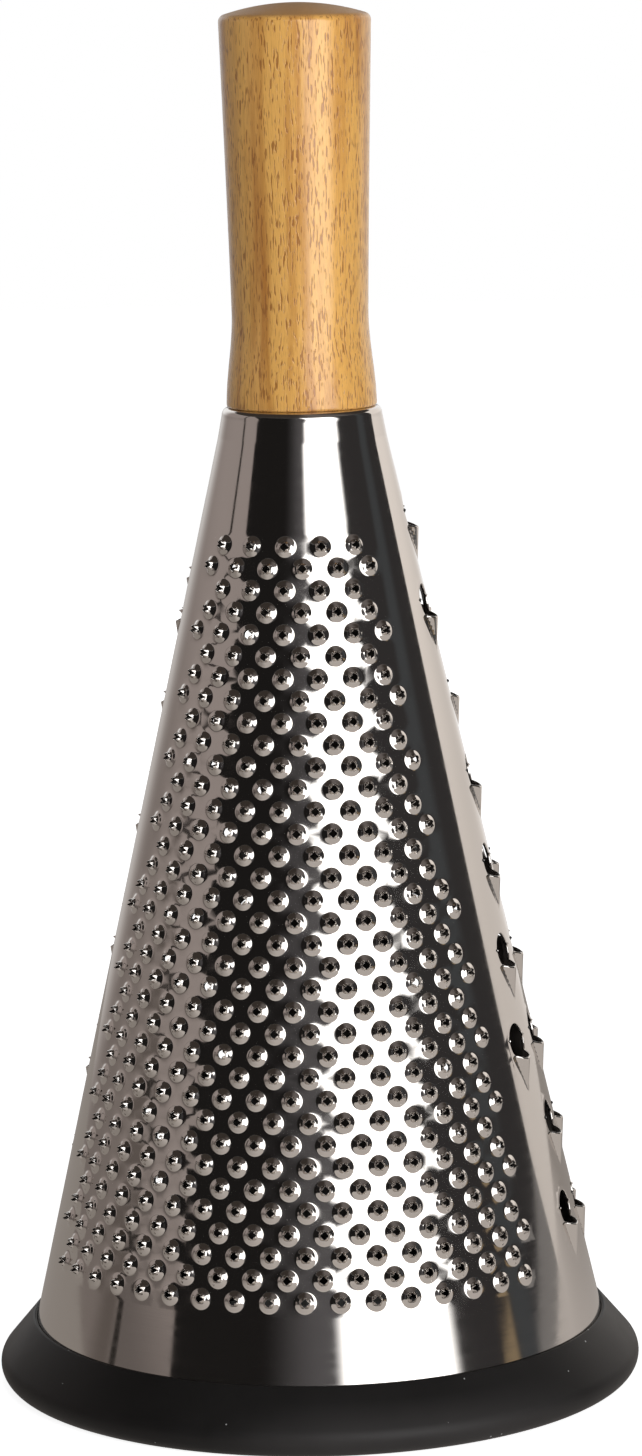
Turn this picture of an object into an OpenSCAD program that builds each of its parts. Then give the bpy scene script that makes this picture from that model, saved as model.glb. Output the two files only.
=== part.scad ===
// Conical hand grater: a turned beech handle screwed on top of a steel cone that is
// punched with three grating zones and stands in a black rubber ring.
// The origin is the middle of the ring's foot, +Z is up and the fine zone faces -Y.

/* [Steel cone] */
// Height of the steel between the rubber ring and the handle
cone_h = 180; // [170:1:195]
// Diameter of the steel where it leaves the rubber ring
base_d = 112.2; // [108:0.2:118]
// Diameter that the straight cone would have at the handle
neck_d = 30.2; // [29:0.2:34]
// Thickness of the sheet
sheet_t = 0.6; // [0.5:0.05:0.8]
// Radius of the rounded shoulder under the handle, on its outside
shoulder_r = 1.4; // [1.2:0.1:2]
// Height of the steeper collar below the shoulder
collar_h = 6; // [4:0.5:8]
// How much wider the collar is at its top than the straight cone would be
collar_flare = 0.5; // [0.3:0.05:0.7]
// Diameter of the opening inside the flange that is turned in at the top
flange_hole_d = 18; // [16:0.5:20]

/* [Fine zone] */
// Rows of fine teeth
fine_rows = 26; // [18:1:26]
// Distance of the first row below the handle
fine_top_gap = 25.2; // [22:0.2:40]
// Distance of the last row above the ring
fine_bottom_gap = 15; // [12:0.5:30]
// Distance between neighbours in a row
fine_pitch = 9.2; // [9.2:0.1:12]
// Width of the zone at its first row
fine_top_w = 27.2; // [14:0.2:27.2]
// Width of the zone at its last row
fine_bottom_w = 108.8; // [80:0.2:108.8]
// Width of a fine tooth where it rises from the sheet
fine_tooth_w = 4.4; // [3.6:0.1:4.5]
// Height of the four points of a fine tooth
fine_tooth_h = 1.6; // [1.2:0.1:1.8]
// Width of the square hole through a fine tooth
fine_hole = 1.32; // [1:0.02:1.5]

/* [Medium zone] */
// Rows of medium teeth
medium_rows = 12; // [8:1:12]
// Distance of the first hole below the handle
medium_top_gap = 24; // [22:0.5:40]
// Distance of the last hole above the ring
medium_bottom_gap = 17; // [14:0.5:30]
// Distance between neighbours in a row
medium_pitch = 10; // [9:0.1:12]
// Width of the zone at its first row
medium_top_w = 18; // [8:0.5:20]
// Width of the zone at its last row
medium_bottom_w = 50; // [30:0.5:54]
// Diameter of a hole
medium_hole_d = 4; // [3:0.1:4.2]
// Height of the cutting lip
medium_lip_h = 1.2; // [0.8:0.05:1.3]
// Length of the ramp below the hole
medium_ramp = 3.2; // [2.5:0.1:3.4]

/* [Coarse zone] */
// Rows of coarse teeth
coarse_rows = 9; // [6:1:9]
// Distance of the first hole below the handle
coarse_top_gap = 21; // [20:0.5:40]
// Distance of the last hole above the ring
coarse_bottom_gap = 23; // [20:0.5:40]
// Distance between neighbours in a row
coarse_pitch = 13; // [12:0.5:16]
// Width of the zone at its first row
coarse_top_w = 11; // [8:0.5:12]
// Width of the zone at its last row
coarse_bottom_w = 67; // [40:0.5:68]
// Diameter of a hole
coarse_hole_d = 7; // [5:0.1:7.2]
// Height of the cutting lip
coarse_lip_h = 1.8; // [1.4:0.05:2.1]
// Length of the ramp below the hole
coarse_ramp = 6.5; // [5:0.1:7]

/* [Handle] */
// Length of the handle from the steel to its upper rim
handle_h = 74; // [65:1:90]
// Diameter at the upper rim
handle_top_d = 29.4; // [27:0.2:32]
// Diameter at the waist
handle_waist_d = 26.5; // [25:0.1:27]
// Diameter at the foot
handle_foot_d = 29.2; // [27:0.1:30]
// Height of the waist above the steel
handle_waist_h = 18; // [14:0.5:24]
// Radius of the domed top
handle_dome_r = 45; // [30:1:80]
// Radius of the rounded upper rim
handle_rim_r = 1.5; // [1:0.1:3]
// Radius that breaks the lower edge
handle_foot_r = 0.6; // [0.4:0.1:1]

/* [Rubber ring] */
// How far the ring reaches out past the steel
ring_reach = 7.5; // [7:0.1:11]
// Height of the ring from the table to where the steel comes out of it
ring_h = 12.5; // [11:0.5:16]
// Radius of the nose round the outer edge
ring_nose_r = 3.4; // [3:0.1:4]
// Radius of the lip that meets the steel
ring_lip_r = 0.5; // [0.4:0.1:0.8]
// How deep the steel sits in the ring
groove_depth = 8; // [6:0.5:9]
// Thickness of the rubber inside the steel
ring_inner_wall = 2.6; // [2:0.1:4]
// How far the inner wall stops below the outer lip
ring_inner_drop = 2.5; // [1:0.5:4]

/* [Fastening] */
// Gap between the plate's rim and the bend of the shoulder
plate_gap = 1.7; // [1:0.1:3]
// Thickness of the plate
plate_t = 1.2; // [1:0.1:1.5]
// Diameter of the screw's shank
screw_d = 5; // [4:0.5:6]
// Length of the screw below its head
screw_l = 42; // [30:1:55]
// Diameter of the screw's head
head_d = 9.6; // [9:0.1:10.4]
// Height of the screw's head
head_h = 3.4; // [3:0.1:4]
// Width of the cross recess in the head
recess_w = 1.2; // [1:0.1:1.5]
// Depth of the cross recess
recess_depth = 1.8; // [1.5:0.1:2]
// Gap round the washer, in the hollow of the plate
washer_gap = 1.2; // [1:0.1:1.4]
// Thickness of the washer
washer_t = 1; // [0.8:0.1:1.5]
// Play of each loose fit, on the radius
fit = 0.1; // [0.05:0.05:0.2]

/* [Hidden] */
$fn = 96;

// Overrun of every cut past the face that it opens
over = 0.5;

// Directions of the three zones, seen from above, and of the sheet's butt weld
fine_turn = 0;
coarse_turn = 120;
medium_turn = -120;
weld_turn = 185;

// The cone's own geometry
joint_z = ring_h + cone_h;
lean = atan((base_d - neck_d) / 2 / cone_h);
edge_z = ring_h - groove_depth;
across_t = sheet_t / cos(lean);

// Radius of the straight cone's outside at a height
function steel_r(z) = base_d / 2 - (z - ring_h) * tan(lean);

// Points of an arc about a centre, from one angle to another
function arc(centre, r, from, to, steps) =
    [for (i = [0:steps]) let (a = from + (to - from) * i / steps) centre + r * [cos(a), sin(a)]];

// Half of the cone's section, drawn in by an inset for its inside
function shell_half(inset, bottom_z) = concat(
    [[0, bottom_z],
     [steel_r(bottom_z) - inset / cos(lean), bottom_z],
     [steel_r(joint_z - collar_h) - inset / cos(lean), joint_z - collar_h]],
    arc([steel_r(joint_z) + collar_flare - shoulder_r, joint_z - shoulder_r],
        shoulder_r - inset, 0, 90, 8),
    [[0, joint_z - inset]]);

// A solid of revolution whose seam lies on the butt weld
module shell(inset, bottom_z) {
    rotate([0, 0, weld_turn - 90])
        rotate_extrude()
            polygon(shell_half(inset, bottom_z));
}

// Puts a tooth on the steel: its Z stands off the sheet and its Y runs up the cone
module on_steel(turn, z) {
    rotate([0, 0, turn])
        translate([0, -steel_r(z), z])
            rotate([90 - lean, 0, 0])
                children();
}

// Height of one of several evenly spaced rows
function row_z(i, rows, top_gap, bottom_gap) =
    joint_z - top_gap - i * (cone_h - top_gap - bottom_gap) / (rows - 1);

// Teeth in a row: as many as suit its width, odd and even in turns so that rows stagger
function row_count(i, first_odd, width, pitch) =
    let (odd = (i + first_odd) % 2)
    max(2 * round((width / pitch + 1 - odd) / 2) + odd, 1);

// Repeats a tooth over a zone whose width grows evenly from its first row to its last
module zone(turn, rows, top_gap, bottom_gap, top_w, bottom_w, pitch, first_odd) {
    for (i = [0:rows - 1]) {
        z = row_z(i, rows, top_gap, bottom_gap);
        width = top_w + (bottom_w - top_w) * i / (rows - 1);
        count = row_count(i, first_odd, width, pitch);
        step = pitch / steel_r(z) * 180 / PI;
        for (j = [0:count - 1])
            on_steel(turn + (j - (count - 1) / 2) * step, z)
                children();
    }
}

module fine_zone() {
    zone(fine_turn, fine_rows, fine_top_gap, fine_bottom_gap,
         fine_top_w, fine_bottom_w, fine_pitch, 1)
        children();
}

module medium_zone() {
    zone(medium_turn, medium_rows, medium_top_gap, medium_bottom_gap,
         medium_top_w, medium_bottom_w, medium_pitch, 1)
        children();
}

module coarse_zone() {
    zone(coarse_turn, coarse_rows, coarse_top_gap, coarse_bottom_gap,
         coarse_top_w, coarse_bottom_w, coarse_pitch, 0)
        children();
}

// How far each tooth's form runs on into the sheet
bite = sheet_t / 2;

// A pyramid on a regular base: its radius and turn are the base's, and its axis is Z
module pyramid(sides, r, turn, foot, tip) {
    base = [for (i = [0:sides - 1]) let (a = turn + i * 360 / sides) [r * cos(a), r * sin(a), foot]];
    polyhedron(points = concat(base, [[0, 0, tip]]),
               faces = concat([[for (i = [0:sides - 1]) i]],
                              [for (i = [0:sides - 1]) [sides, (i + 1) % sides, i]]));
}

// A fine tooth is a square boss that a four-sided punch, turned by half a right angle, has
// burst open from inside: four points stand round the hole, with a notch between each two
points_share = 1 / 3;
fine_rise = fine_tooth_h / (fine_tooth_w / 2 - fine_hole * points_share);
module fine_boss() {
    half = fine_tooth_w / 2;
    pyramid(4, (half + bite / fine_rise) * sqrt(2), 45, -bite, half * fine_rise);
}

// The punch's own width at the inside of the sheet, as a share of the boss
punch_share = 0.6;
module fine_punch() {
    half = fine_hole / 2;
    wide = fine_tooth_w / 2 * punch_share;
    rise = (fine_tooth_h + sheet_t) / (wide - half);
    pyramid(4, (wide + over / rise) * sqrt(2), 0, -sheet_t - over, wide * rise - sheet_t);
}

// A coarse tooth is a bulge that rises like a ramp from below to the cutting lip at a round
// hole: a pyramid that lies along the sheet, with its tip below and its base across the
// middle of the hole; sink moves it in for the bulge's hollow inside
coarse_sides = 6;
coarse_hole_sides = 8;
module coarse_bulge(sink) {
    slope = coarse_lip_h / coarse_ramp;
    length = coarse_hole_d / 2 + coarse_ramp + bite / slope;
    r = coarse_hole_d / 2 - fit;
    middle = slope * (coarse_hole_d / 2 + coarse_ramp) - r - sink;
    base = [for (i = [0:coarse_sides - 1]) let (a = i * 360 / coarse_sides)
        [r * sin(a), 0, middle + r * cos(a)]];
    polyhedron(points = concat(base, [[0, -length, -sink - bite]]),
               faces = concat([[for (i = [0:coarse_sides - 1]) coarse_sides - 1 - i]],
                              [for (i = [0:coarse_sides - 1])
                                  [coarse_sides, i, (i + 1) % coarse_sides]]));
}

module coarse_cut() {
    coarse_bulge(sheet_t);
    translate([0, 0, -sheet_t - over])
        cylinder(h = sheet_t + 2 * coarse_lip_h + 2 * over, d = coarse_hole_d,
                 $fn = coarse_hole_sides);
}

// A medium tooth is a wedge whose ridge rises from below to the lip of a square hole that
// stands on its corner
module medium_wedge() {
    slope = medium_lip_h / medium_ramp;
    top = slope * (medium_hole_d / 2 + medium_ramp);
    length = medium_hole_d / 2 + medium_ramp + bite / slope;
    half = medium_hole_d / 2 * (top + bite) / top;
    polyhedron(points = [[0, 0, top], [-half, 0, -bite], [half, 0, -bite], [0, -length, -bite]],
               faces = [[0, 2, 1], [0, 1, 3], [0, 3, 2], [1, 2, 3]]);
}

module medium_cut() {
    translate([0, 0, -sheet_t - over])
        cylinder(h = sheet_t + 2 * medium_lip_h + 2 * over, d = medium_hole_d, $fn = 4);
}

module grater_cone() {
    color("silver")
        difference() {
            union() {
                shell(0, edge_z);
                fine_zone() fine_boss();
                medium_zone() medium_wedge();
                coarse_zone() coarse_bulge(0);
            }
            shell(sheet_t, edge_z - over);
            fine_zone() fine_punch();
            medium_zone() medium_cut();
            coarse_zone() coarse_cut();
            translate([0, 0, joint_z - sheet_t - over])
                cylinder(h = sheet_t + 2 * over, d = flange_hole_d);
        }
}

// The handle's side: a smooth flare from the waist to the foot, and a long taper that
// widens evenly from the waist to the rim
foot_steps = 10;
taper_steps = 10;
waist_r = handle_waist_d / 2;
function foot_flare(h) =
    waist_r + (handle_foot_d / 2 - waist_r) * (1 + cos(180 * h / handle_waist_h)) / 2;
taper_bend_share = 1.15;
function taper(share) = waist_r + (handle_top_d / 2 - waist_r) * pow(share, taper_bend_share);

// The dome's arc runs smoothly into the rounded rim
rim = [handle_top_d / 2 - handle_rim_r, handle_h];
dome_angle = asin(rim[0] / (handle_dome_r - handle_rim_r));
dome_z = handle_h - (handle_dome_r - handle_rim_r) * cos(dome_angle);

function handle_half() = concat(
    [[0, 0]],
    arc([foot_flare(0) - handle_foot_r, handle_foot_r], handle_foot_r, -90, 0, 4),
    [for (i = [1:foot_steps]) let (h = handle_foot_r + (handle_waist_h - handle_foot_r) * i / foot_steps)
        [foot_flare(h), h]],
    [for (i = [1:taper_steps]) let (s = i / taper_steps)
        [taper(s), handle_waist_h + (handle_h - handle_waist_h) * s]],
    arc(rim, handle_rim_r, 90 / 5, 90 - dome_angle, 4),
    arc([0, dome_z], handle_dome_r, 90 - dome_angle * 5 / 6, 90, 5));

// The pilot hole ends in the drill's point
pilot_depth = screw_l - plate_t - washer_t + screw_d / 2;
pilot_r = screw_d / 2 + fit;

module handle() {
    color("burlywood")
        translate([0, 0, joint_z])
            difference() {
                rotate_extrude()
                    polygon(handle_half());
                translate([0, 0, -over])
                    cylinder(h = pilot_depth + over, r = pilot_r);
                translate([0, 0, pilot_depth])
                    cylinder(h = pilot_r / 2, r1 = pilot_r, r2 = 0);
            }
}

// A pressed plate that closes the opening in the flange: its raised middle fills the
// opening and bears on the handle, and its rim bears on the flange from below
plate_top_z = joint_z - sheet_t;
plate_r = steel_r(joint_z) + collar_flare - shoulder_r - plate_gap;
pad_r = flange_hole_d / 2 - fit;
hollow_r = pad_r - plate_t;
hollow_z = joint_z - plate_t;

module top_plate() {
    color("gainsboro")
        difference() {
            union() {
                translate([0, 0, plate_top_z - plate_t])
                    cylinder(h = plate_t, r = plate_r);
                translate([0, 0, plate_top_z - plate_t / 2])
                    cylinder(h = sheet_t + plate_t / 2, r = pad_r);
            }
            translate([0, 0, plate_top_z - plate_t - over])
                cylinder(h = plate_t + sheet_t + 2 * over, r = pilot_r);
            translate([0, 0, plate_top_z - plate_t - over])
                cylinder(h = hollow_z - plate_top_z + plate_t + over, r = hollow_r);
        }
}

// The washer sits in the hollow of the plate
module screw_washer() {
    color("lightgray")
        difference() {
            translate([0, 0, hollow_z - washer_t])
                cylinder(h = washer_t, r = hollow_r - washer_gap);
            translate([0, 0, hollow_z - washer_t - over])
                cylinder(h = washer_t + 2 * over, r = pilot_r);
        }
}

// A pan-head wood screw that is driven from inside the cone
head_z = hollow_z - washer_t;
point_l = screw_d;
head_edge_r = head_h / 3;

module handle_screw() {
    color("gray")
        difference() {
            translate([0, 0, head_z])
                rotate_extrude()
                    polygon(concat(
                        [[0, -head_h]],
                        arc([head_d / 2 - head_edge_r, head_edge_r - head_h], head_edge_r, -90, 0, 4),
                        [[head_d / 2, 0],
                         [screw_d / 2, 0],
                         [screw_d / 2, screw_l - point_l],
                         [0, screw_l]]));
            for (turn = [0, 90])
                rotate([0, 0, turn])
                    translate([-head_d / 4, -recess_w / 2, head_z - head_h - over])
                        cube([head_d / 2, recess_w, recess_depth + over]);
        }
}

// The ring's section: a slope from the lip at the steel down to a round nose, a flat foot,
// and an inner wall that follows the cone
nose = [base_d / 2 + ring_reach - ring_nose_r, ring_nose_r];
lip = [steel_r(ring_h) + fit + ring_lip_r, ring_h - ring_lip_r];
slope_a = atan2(nose[1] - lip[1], nose[0] - lip[0])
    + acos((ring_lip_r - ring_nose_r) / norm(nose - lip));
inner_r = steel_r(ring_h) - across_t - ring_inner_wall;
inner_top_z = ring_h - ring_inner_drop;

module base_ring() {
    color("#1c1a1a")
        difference() {
            rotate_extrude()
                polygon(concat(
                    [[inner_r + ring_lip_r, 0]],
                    arc(nose, ring_nose_r, -90, slope_a, 12),
                    arc(lip, ring_lip_r, slope_a, 90, 4),
                    [[steel_r(ring_h) - across_t / 2, ring_h],
                     [steel_r(inner_top_z) - across_t / 2, inner_top_z]],
                    arc([inner_r + ring_lip_r, inner_top_z - ring_lip_r], ring_lip_r, 90, 180, 4),
                    [[inner_r, ring_lip_r]]));
            rotate_extrude()
                polygon([[steel_r(edge_z) - across_t - fit, edge_z],
                         [steel_r(edge_z) + fit, edge_z],
                         [steel_r(ring_h + over) + fit, ring_h + over],
                         [steel_r(ring_h + over) - across_t - fit, ring_h + over]]);
        }
}

handle();
grater_cone();
top_plate();
screw_washer();
handle_screw();
base_ring();
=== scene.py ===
import itertools
import math
import random

import bpy
import numpy as np
from mathutils import Matrix, Vector, geometry


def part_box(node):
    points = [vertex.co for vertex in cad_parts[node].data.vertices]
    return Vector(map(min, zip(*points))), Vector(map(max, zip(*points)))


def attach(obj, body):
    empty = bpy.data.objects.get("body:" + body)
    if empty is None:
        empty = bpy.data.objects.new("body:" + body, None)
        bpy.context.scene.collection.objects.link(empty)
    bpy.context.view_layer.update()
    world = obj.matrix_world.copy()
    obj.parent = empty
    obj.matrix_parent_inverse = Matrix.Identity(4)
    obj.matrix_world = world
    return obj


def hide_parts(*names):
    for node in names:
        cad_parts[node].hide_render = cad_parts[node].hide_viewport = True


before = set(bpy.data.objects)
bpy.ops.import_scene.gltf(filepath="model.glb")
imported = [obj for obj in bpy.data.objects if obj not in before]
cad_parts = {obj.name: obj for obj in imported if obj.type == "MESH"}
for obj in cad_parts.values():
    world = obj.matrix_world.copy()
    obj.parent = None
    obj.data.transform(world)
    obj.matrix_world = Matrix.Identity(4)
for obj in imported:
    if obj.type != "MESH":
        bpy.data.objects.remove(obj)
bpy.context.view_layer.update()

bl_info = {
    "name": "Conical Grater",
    "version": (1, 0, 0),
    "blender": (4, 5, 0),
    "location": "View3D > Sidebar > Grater",
    "description": "Builds a conical hand grater with its finishes and a photo studio round it",
    "category": "Object",
}

MM = 0.001

# The row frame: the ring stands on the floor at the origin, +Z is up and the fine zone faces -Y
RING_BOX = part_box("base_ring")
HANDLE_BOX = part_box("handle")
RING_TOP = RING_BOX[1].z
JOINT_Z = HANDLE_BOX[0].z
RING_R = (RING_BOX[1].x - RING_BOX[0].x) / 2


def mm_prop(name, description, value):
    """A length, given in millimetres."""
    return bpy.props.FloatProperty(
        name=name, description=description, default=value * MM, min=0.0, precision=5,
        unit="LENGTH")


def angle_prop(name, description, degrees):
    """An angle, given in degrees."""
    return bpy.props.FloatProperty(
        name=name, description=description, default=math.radians(degrees), subtype="ANGLE")


def colour_prop(name, description, value):
    """A colour."""
    return bpy.props.FloatVectorProperty(
        name=name, description=description, default=value, min=0.0, max=1.0, subtype="COLOR")


def share_prop(name, description, value, top=1.0):
    """A plain number, from 0 to its top."""
    return bpy.props.FloatProperty(
        name=name, description=description, default=value, min=0.0, max=top)


class GraterConeSizes(bpy.types.PropertyGroup):
    """Sizes of the steel cone."""
    base_r: mm_prop("Base radius", "Radius where the steel leaves the ring", RING_R / MM - 7.5)
    neck_r: mm_prop("Neck radius", "Radius of the straight cone at the handle", 15.1)
    sheet_t: mm_prop("Sheet", "Thickness of the sheet", 0.6)
    sunk: mm_prop("Sunk", "How deep the steel sits in the ring", 8)
    shoulder_r: mm_prop("Shoulder", "Outer radius of the bend under the handle", 1.4)
    collar_h: mm_prop("Collar", "Height of the collar under the shoulder", 6)
    flare: mm_prop("Flare", "How much wider than the cone the collar is", 0.5)
    flange_r: mm_prop("Flange", "Radius of the opening in the flange", 9)
    weld_turn: angle_prop("Weld", "Direction of the butt weld", 185)


class GraterZone(bpy.types.PropertyGroup):
    """Places and sizes of one zone of teeth. The defaults are those of the medium zone."""
    turn: angle_prop("Turn", "Direction of the zone from the front", -120)
    rows: bpy.props.IntProperty(name="Rows", description="Rows of teeth", default=18, min=2)
    first_odd: bpy.props.IntProperty(
        name="First odd", description="1 if the first row is odd", default=1, min=0, max=1)
    top_gap: mm_prop("Top gap", "From the handle to the first row", 24)
    bottom_gap: mm_prop("Bottom gap", "From the last row to the ring", 17)
    pitch: mm_prop("Pitch", "Between neighbours in a row", 6.9)
    top_w: mm_prop("Top width", "Width of the first row", 18)
    bottom_w: mm_prop("Bottom width", "Width of the last row", 50)
    hole: mm_prop("Hole", "Radius of the hole", 2)
    height: mm_prop("Height", "Height of the points or the cutting lip", 1.2)
    reach: mm_prop("Reach", "Radius of a star's foot, or length of a ramp", 3.2)


class GraterHandleSizes(bpy.types.PropertyGroup):
    """Sizes of the turned handle."""
    rim_h: mm_prop("Rim height", "Height of the upper rim over the steel", 74)
    top_r: mm_prop("Top radius", "Radius at the upper rim", 14.7)
    waist_r: mm_prop("Waist radius", "Radius at the waist", 13.25)
    foot_r: mm_prop("Foot radius", "Radius at the foot", 14.6)
    waist_h: mm_prop("Waist height", "Height of the waist over the steel", 18)
    dome_r: mm_prop("Dome", "Radius of the domed top", 45)
    rim_r: mm_prop("Rim", "Radius of the rounded upper rim", 1.5)
    edge_r: mm_prop("Edge", "Radius of the lower edge", 0.6)
    pilot_r: mm_prop("Pilot", "Radius of the pilot hole", 2.6)
    pilot_h: mm_prop("Pilot depth", "Depth of the pilot hole", 42.3)
    pilot_edge: mm_prop("Pilot edge", "Chamfer of the pilot hole", 0.2)


class GraterRingSizes(bpy.types.PropertyGroup):
    """Sizes of the rubber ring."""
    nose_r: mm_prop("Nose", "Radius round the outer edge", 3.4)
    lip_r: mm_prop("Lip", "Radius of the lip that meets the steel", 0.5)
    wall: mm_prop("Wall", "Thickness of the rubber inside the steel", 2.6)
    drop: mm_prop("Drop", "How far the wall stops below the lip", 2.5)
    fit: mm_prop("Fit", "Play between the rubber and the steel", 0.1)


class GraterFinish(bpy.types.PropertyGroup):
    """Colours and finishes."""
    steel: colour_prop("Steel", "Polished stainless steel", (0.76, 0.725, 0.69))
    steel_rough: share_prop("Steel roughness", "Roughness of the polished sheet", 0.075)
    zinc: colour_prop("Zinc", "Plated screw, washer and plate", (0.62, 0.63, 0.64))
    wood_light: colour_prop("Light wood", "Early wood of the beech", (0.98, 0.53, 0.135))
    wood_dark: colour_prop("Dark wood", "Late wood of the beech", (0.58, 0.235, 0.042))
    wood_fleck: colour_prop("Flecks", "Short flecks along the grain", (0.40, 0.15, 0.03))
    wood_end: colour_prop("End grain", "Domed top across the grain", (0.60, 0.32, 0.12))
    rubber: colour_prop("Rubber", "Matte black rubber", (0.0095, 0.0089, 0.0088))
    dust: colour_prop("Dust", "Specks of dust on the rubber", (0.55, 0.55, 0.56))
    # Direction of the painted sheen on the rubber, towards the softbox
    sheen_patch_turn: angle_prop("Patch", "Direction of the rubber's greyer patch", 27)


class GraterStudio(bpy.types.PropertyGroup):
    """The camera and the light."""
    camera_turn: angle_prop("Camera turn", "Direction of the camera", 10.3)
    camera_far: mm_prop("Camera distance", "Level distance from the axis", 966.6)
    camera_up: mm_prop("Camera height", "Height of the camera", 280.5)
    pitch: angle_prop("Pitch", "How far it looks down", 8.9)
    yaw: angle_prop("Yaw", "How far it looks to the right", 0.15)
    roll: angle_prop("Roll", "How far it is rolled", 1.08)
    lens: bpy.props.FloatProperty(
        name="Lens", description="Focal length in millimetres", default=123.4, min=1.0)
    ambient: share_prop("Ambient", "Strength of the even light", 0.20, 2.0)
    key: share_prop("Softbox", "Radiance of the softbox on the right", 3.5, 10.0)
    back: share_prop("Back softbox", "Radiance of the softbox behind", 1.4, 10.0)


def feed(tree, made, values):
    """Feeds a node's inputs, found by name or number, with numbers, colours or links."""
    for name, value in values.items():
        socket = made.inputs[name]
        if isinstance(value, bpy.types.NodeSocket):
            tree.links.new(value, socket)
        else:
            socket.default_value = value


def node(tree, kind, values=None, **settings):
    """Adds a shader node, sets its settings and feeds its inputs."""
    made = tree.nodes.new("ShaderNode" + kind)
    for name, value in settings.items():
        setattr(made, name, value)
    feed(tree, made, values or {})
    return made


def sums(tree, kind, *values):
    """The result of one Math node."""
    return node(tree, "Math", dict(enumerate(values)), operation=kind).outputs[0]


def times(tree, first, second):
    """The product of two numbers."""
    return sums(tree, "MULTIPLY", first, second)


def blended(tree, share, first, second):
    """The colour that lies a share of the way from the first to the second."""
    made = node(tree, "Mix", data_type="RGBA")
    places = {s.name: k for k, s in enumerate(made.inputs) if s.enabled}
    feed(tree, made, {places["Factor"]: share, places["A"]: first, places["B"]: second})
    return next(s for s in made.outputs if s.enabled)


def spread(tree, value, low, high, to_low=0.0, to_high=1.0, **settings):
    """A value mapped from the range low to high, to 0 to 1 or to another range."""
    made = node(tree, "MapRange", {"Value": value, "From Min": low, "From Max": high,
                                   "To Min": to_low, "To Max": to_high}, **settings)
    return made.outputs["Result"]


def dotted(tree, first, second):
    """The dot product of two vectors."""
    made = node(tree, "VectorMath", {0: first, 1: second}, operation="DOT_PRODUCT")
    return made.outputs["Value"]


def long(tree, vector):
    """The length of a vector."""
    return node(tree, "VectorMath", {0: vector}, operation="LENGTH").outputs["Value"]


def bumped(tree, height, strength, depth):
    """The normal of a surface that is embossed by a height."""
    made = node(tree, "Bump", {"Height": height, "Strength": strength, "Distance": depth})
    return made.outputs["Normal"]


def rgba(colour, share=1.0):
    """A colour as four numbers, made darker or lighter by a share."""
    return (*(c * share for c in colour), 1.0)


def new_group(name, inputs, output):
    """A shader node group whose sockets are all numbers, and its two end nodes."""
    tree = bpy.data.node_groups.new(name, "ShaderNodeTree")
    kind = "NodeSocketFloat"
    for label, value in inputs.items():
        socket = tree.interface.new_socket(label, in_out="INPUT", socket_type=kind)
        socket.default_value = value
    tree.interface.new_socket(output, in_out="OUTPUT", socket_type=kind)
    return tree, tree.nodes.new("NodeGroupInput").outputs, tree.nodes.new("NodeGroupOutput")


def grouped(tree, name, make, values):
    """The output of a shared node group, which is made where it is first used."""
    group = bpy.data.node_groups.get(name) or make(name)
    return node(tree, "Group", values, node_tree=group).outputs[0]


def stretched_noise(name):
    """Node group: noise with its own scales across and along the Z axis."""
    tree, start, end = new_group(
        name, {"Across": 100.0, "Along": 10.0, "Detail": 2.0, "Shift": 0.0}, "Value")
    place = node(tree, "TexCoord").outputs["Object"]
    scale = node(tree, "CombineXYZ", {"X": start["Across"], "Y": start["Across"],
                                      "Z": start["Along"]}).outputs[0]
    grown = node(tree, "VectorMath", {0: place, 1: scale}, operation="MULTIPLY").outputs[0]
    made = node(tree, "TexNoise", {"Vector": grown, "Scale": 1.0, "W": start["Shift"],
                                   "Detail": start["Detail"]}, noise_dimensions="4D")
    feed(tree, end, {"Value": made.outputs["Fac"]})
    return tree


def scattered_specks(name):
    """Node group: small round specks scattered over a surface."""
    tree, start, end = new_group(name, {"Scale": 400.0, "Size": 0.1, "Amount": 0.1}, "Mask")
    place = node(tree, "TexCoord").outputs["Object"]
    cells = node(tree, "TexVoronoi", {"Vector": place, "Scale": start["Scale"]}).outputs
    near = sums(tree, "LESS_THAN", cells["Distance"], start["Size"])
    chance = node(tree, "SeparateColor", {"Color": cells["Color"]}).outputs[0]
    kept = sums(tree, "LESS_THAN", chance, start["Amount"])
    feed(tree, end, {"Mask": times(tree, near, kept)})
    return tree


# Noises of the finishes: scale across the axis and along it, detail, and shift
NOISES = {
    "brushing": (50.0, 3200.0, 2.0, 0.0),
    "steel cloud": (26.0, 14.0, 3.0, 4.0),
    "smear": (90.0, 700.0, 4.0, 9.0),
    "zinc cloud": (900.0, 900.0, 4.0, 0.0),
    "broad grain": (60.0, 5.0, 2.0, 5.0),
    "fine grain": (620.0, 20.0, 3.0, 6.0),
    "growth rings": (170.0, 7.0, 2.0, 2.0),
    "flecks": (3000.0, 380.0, 1.0, 1.0),
    "fleck patches": (320.0, 60.0, 2.0, 7.0),
    "pores": (4300.0, 330.0, 2.0, 3.0),
    "rubber grain": (3800.0, 3800.0, 2.0, 0.0),
    "rubber cloud": (45.0, 45.0, 3.0, 3.0),
}


def noise(tree, name):
    """One of the noises, from about 0.25 to 0.75."""
    values = dict(zip(("Across", "Along", "Detail", "Shift"), NOISES[name]))
    return grouped(tree, "stretched_noise", stretched_noise, values)


def new_material(name):
    """A material with one Principled shader, its node tree and the shader."""
    made = bpy.data.materials.new(name)
    made.use_nodes = True
    return made, made.node_tree, made.node_tree.nodes["Principled BSDF"]


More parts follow.
